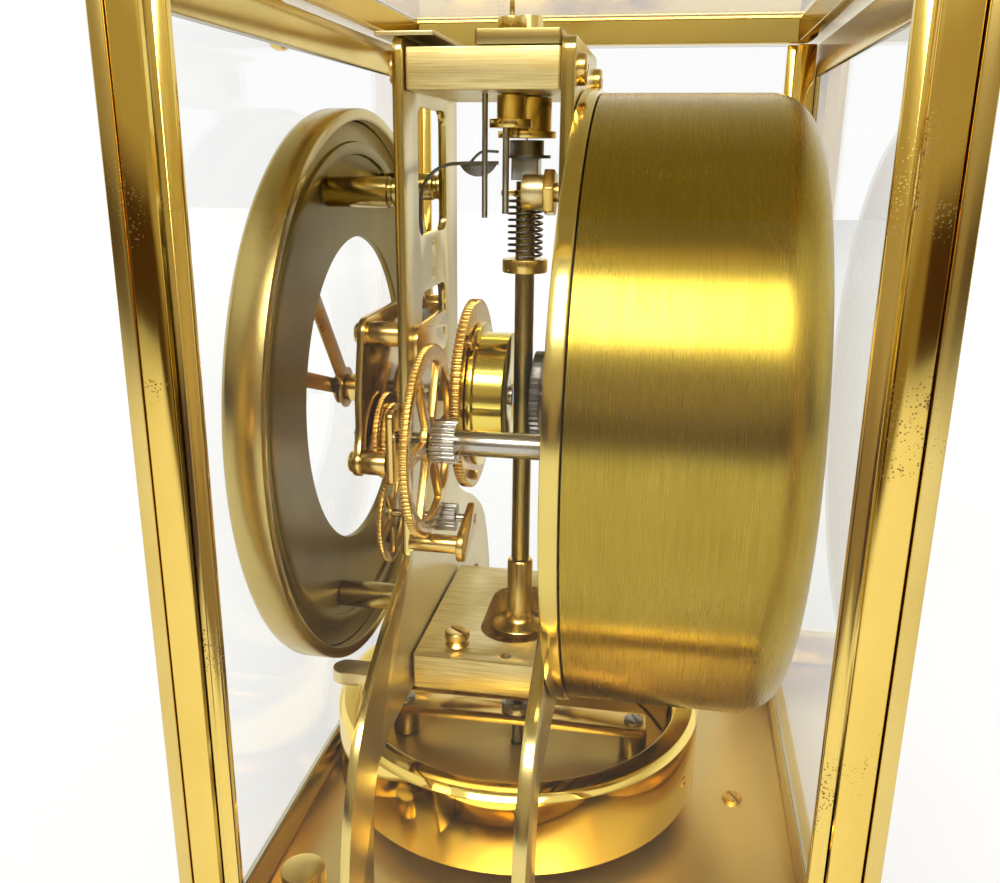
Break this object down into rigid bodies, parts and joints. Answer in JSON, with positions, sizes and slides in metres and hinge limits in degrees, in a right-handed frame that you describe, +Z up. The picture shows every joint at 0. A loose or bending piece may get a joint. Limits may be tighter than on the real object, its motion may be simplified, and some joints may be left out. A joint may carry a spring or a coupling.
{
  "type": "torsion pendulum clock",
  "caption": "Glazed table clock with a torsion pendulum, an open gear train and a sealed bellows drum that winds it; front pane tips open.",
  "frame": {"origin": "middle of the base on the surface it stands on", "axes": "+Z up, +X to the right seen from the dial, +Y to the back, so the dial faces -Y"},
  "size_m": [0.18, 0.138, 0.2231],
  "materials": {
    "bronze_hand": "bronzed hand",
    "brushed_brass": "circumferentially brushed brass",
    "clear_glass": "clear flat glass",
    "dark_steel": "dark blued steel",
    "dial_paint": "matt bronze-brown dial finish",
    "gear_brass": "orange-gold lacquered brass",
    "olive_brass": "dark olive lacquered brass",
    "polished_gold": "mirror polished gold plating",
    "satin_gilt": "satin gilt",
    "steel": "polished steel"
  },
  "bodies": {
    "clock_frame": {"barrel_arbor": "steel", "base_plate": "polished_gold", "base_plinth": "polished_gold", "bellows": "brushed_brass", "bellows_drum": "brushed_brass", "bellows_spring": "steel", "bezel": "brushed_brass", "case_top_frame": "polished_gold", "dial_ring": "dial_paint", "drum_flange": "polished_gold", "escape_cock": "gear_brass", "front_plate": "satin_gilt", "lower_cock": "gear_brass", "mainspring": "steel", "motion_bridge": "brushed_brass", "platform": "brushed_brass", "rear_frame": "satin_gilt", "rear_glass": "clear_glass", "rear_plate": "satin_gilt", "regulator": "gear_brass", "side_frame_left": "polished_gold", "side_frame_right": "polished_gold", "side_glass_left": "clear_glass", "side_glass_right": "clear_glass", "spirit_level": "polished_gold", "suspension_head": "gear_brass", "top_bridge": "polished_gold", "top_cover": "olive_brass", "top_glass": "clear_glass"},
    "foot_left": {"foot_front_left": "gear_brass"},
    "foot_right": {"foot_front_right": "gear_brass"},
    "door": {"front_door": "satin_gilt", "front_glass": "clear_glass", "door_knob": "polished_gold"},
    "pendulum": {"suspension_wire": "steel", "roller": "dark_steel", "staff_tube": "olive_brass", "staff_spring": "dark_steel", "staff_collar": "gear_brass", "staff_sleeve": "gear_brass", "pendulum_pin": "steel", "pendulum_bar": "gear_brass", "pendulum_web": "brushed_brass", "pendulum_ring": "polished_gold"},
    "minute_body": {"minute_hand": "bronze_hand", "centre_wheel": "gear_brass"},
    "hour_body": {"hour_hand": "bronze_hand", "hour_wheel": "gear_brass"},
    "minute_wheel_body": {"minute_wheel": "gear_brass"},
    "lower_wheel_body": {"lower_wheel": "gear_brass"},
    "spoked_body": {"wheel_arbor": "steel", "spoked_wheel": "gear_brass"},
    "barrel": {"great_wheel": "gear_brass", "barrel_drum": "polished_gold"},
    "third_body": {"third_wheel": "gear_brass"},
    "escape_body": {"escape_wheel": "gear_brass"},
    "pallet_body": {"pallet_lever": "steel"},
    "push_body": {"push_disc": "steel"},
    "winding_body": {"winding_wheel": "dark_steel"},
    "lock_body": {"lock_lever": "brushed_brass"}
  },
  "joints": [
    {"name": "left_foot_screw", "type": "hinge", "parent": "clock_frame", "child": "foot_left", "pos_m": [-0.0815, -0.0605, 0], "axis": [0, 0, 1], "range_deg": [-720, 720]},
    {"name": "right_foot_screw", "type": "hinge", "parent": "clock_frame", "child": "foot_right", "pos_m": [0.0815, -0.0605, 0], "axis": [0, 0, 1], "range_deg": [-720, 720]},
    {"name": "front_door_tilt", "type": "hinge", "parent": "clock_frame", "child": "door", "pos_m": [0, -0.06, 0.0303], "axis": [1, 0, 0], "range_deg": [0, 75]},
    {"name": "pendulum_torsion", "type": "hinge", "parent": "clock_frame", "child": "pendulum", "pos_m": [0, -0.0098, 0.15], "axis": [0, 0, 1], "range_deg": [-270, 270], "stiffness_Nm_per_rad": 0.000006},
    {"name": "minute_hand_turn", "type": "hinge", "parent": "clock_frame", "child": "minute_body", "pos_m": [0, -0.05, 0.1315], "axis": [0, 1, 0], "continuous": true},
    {"name": "minute_wheel_turn", "type": "hinge", "parent": "clock_frame", "child": "minute_wheel_body", "pos_m": [0.01442, -0.038, 0.12466], "axis": [0, 1, 0], "continuous": true},
    {"name": "hour_hand_turn", "type": "hinge", "parent": "clock_frame", "child": "hour_body", "pos_m": [0, -0.044, 0.1315], "axis": [0, 1, 0], "continuous": true},
    {"name": "lower_wheel_turn", "type": "hinge", "parent": "clock_frame", "child": "lower_wheel_body", "pos_m": [0.01549, -0.03, 0.10654], "axis": [0, 1, 0], "continuous": true},
    {"name": "spoked_wheel_turn", "type": "hinge", "parent": "clock_frame", "child": "spoked_body", "pos_m": [0.02562, -0.02, 0.12731], "axis": [0, 1, 0], "continuous": true},
    {"name": "barrel_turn", "type": "hinge", "parent": "clock_frame", "child": "barrel", "pos_m": [0, -0.02, 0.1315], "axis": [0, 1, 0], "continuous": true},
    {"name": "third_wheel_turn", "type": "hinge", "parent": "clock_frame", "child": "third_body", "pos_m": [-0.00346, -0.035, 0.14548], "axis": [0, 1, 0], "continuous": true},
    {"name": "escape_wheel_turn", "type": "hinge", "parent": "clock_frame", "child": "escape_body", "pos_m": [0.00051, -0.034, 0.15932], "axis": [0, 1, 0], "continuous": true},
    {"name": "pallet_rock", "type": "hinge", "parent": "clock_frame", "child": "pallet_body", "pos_m": [0.00051, -0.034, 0.16602], "axis": [0, 1, 0], "range_deg": [-3, 3]},
    {"name": "bellows_push", "type": "slide", "parent": "clock_frame", "child": "push_body", "axis": [0, -1, 0], "range_m": [-0.0022, 0.0022]},
    {"name": "winding_swing", "type": "hinge", "parent": "clock_frame", "child": "winding_body", "pos_m": [0, -0.004, 0.1315], "axis": [0, 1, 0], "range_deg": [-20, 20]},
    {"name": "lock_lever_swing", "type": "hinge", "parent": "clock_frame", "child": "lock_body", "pos_m": [0.034, -0.034, 0.0713], "axis": [0, 1, 0], "range_deg": [-15, 15]}
  ],
  "couplings": [
    {"joint": "minute_wheel_turn", "follows": "minute_hand_turn", "ratio": -0.66667},
    {"joint": "hour_hand_turn", "follows": "minute_hand_turn", "ratio": 0.083333},
    {"joint": "lower_wheel_turn", "follows": "minute_hand_turn", "ratio": 0.44444},
    {"joint": "spoked_wheel_turn", "follows": "minute_hand_turn", "ratio": -0.065574},
    {"joint": "barrel_turn", "follows": "minute_hand_turn", "ratio": 0.013382},
    {"joint": "third_wheel_turn", "follows": "minute_hand_turn", "ratio": -2},
    {"joint": "escape_wheel_turn", "follows": "minute_hand_turn", "ratio": 4},
    {"joint": "winding_swing", "follows": "bellows_push", "rad_per_m": 125}
  ]
}
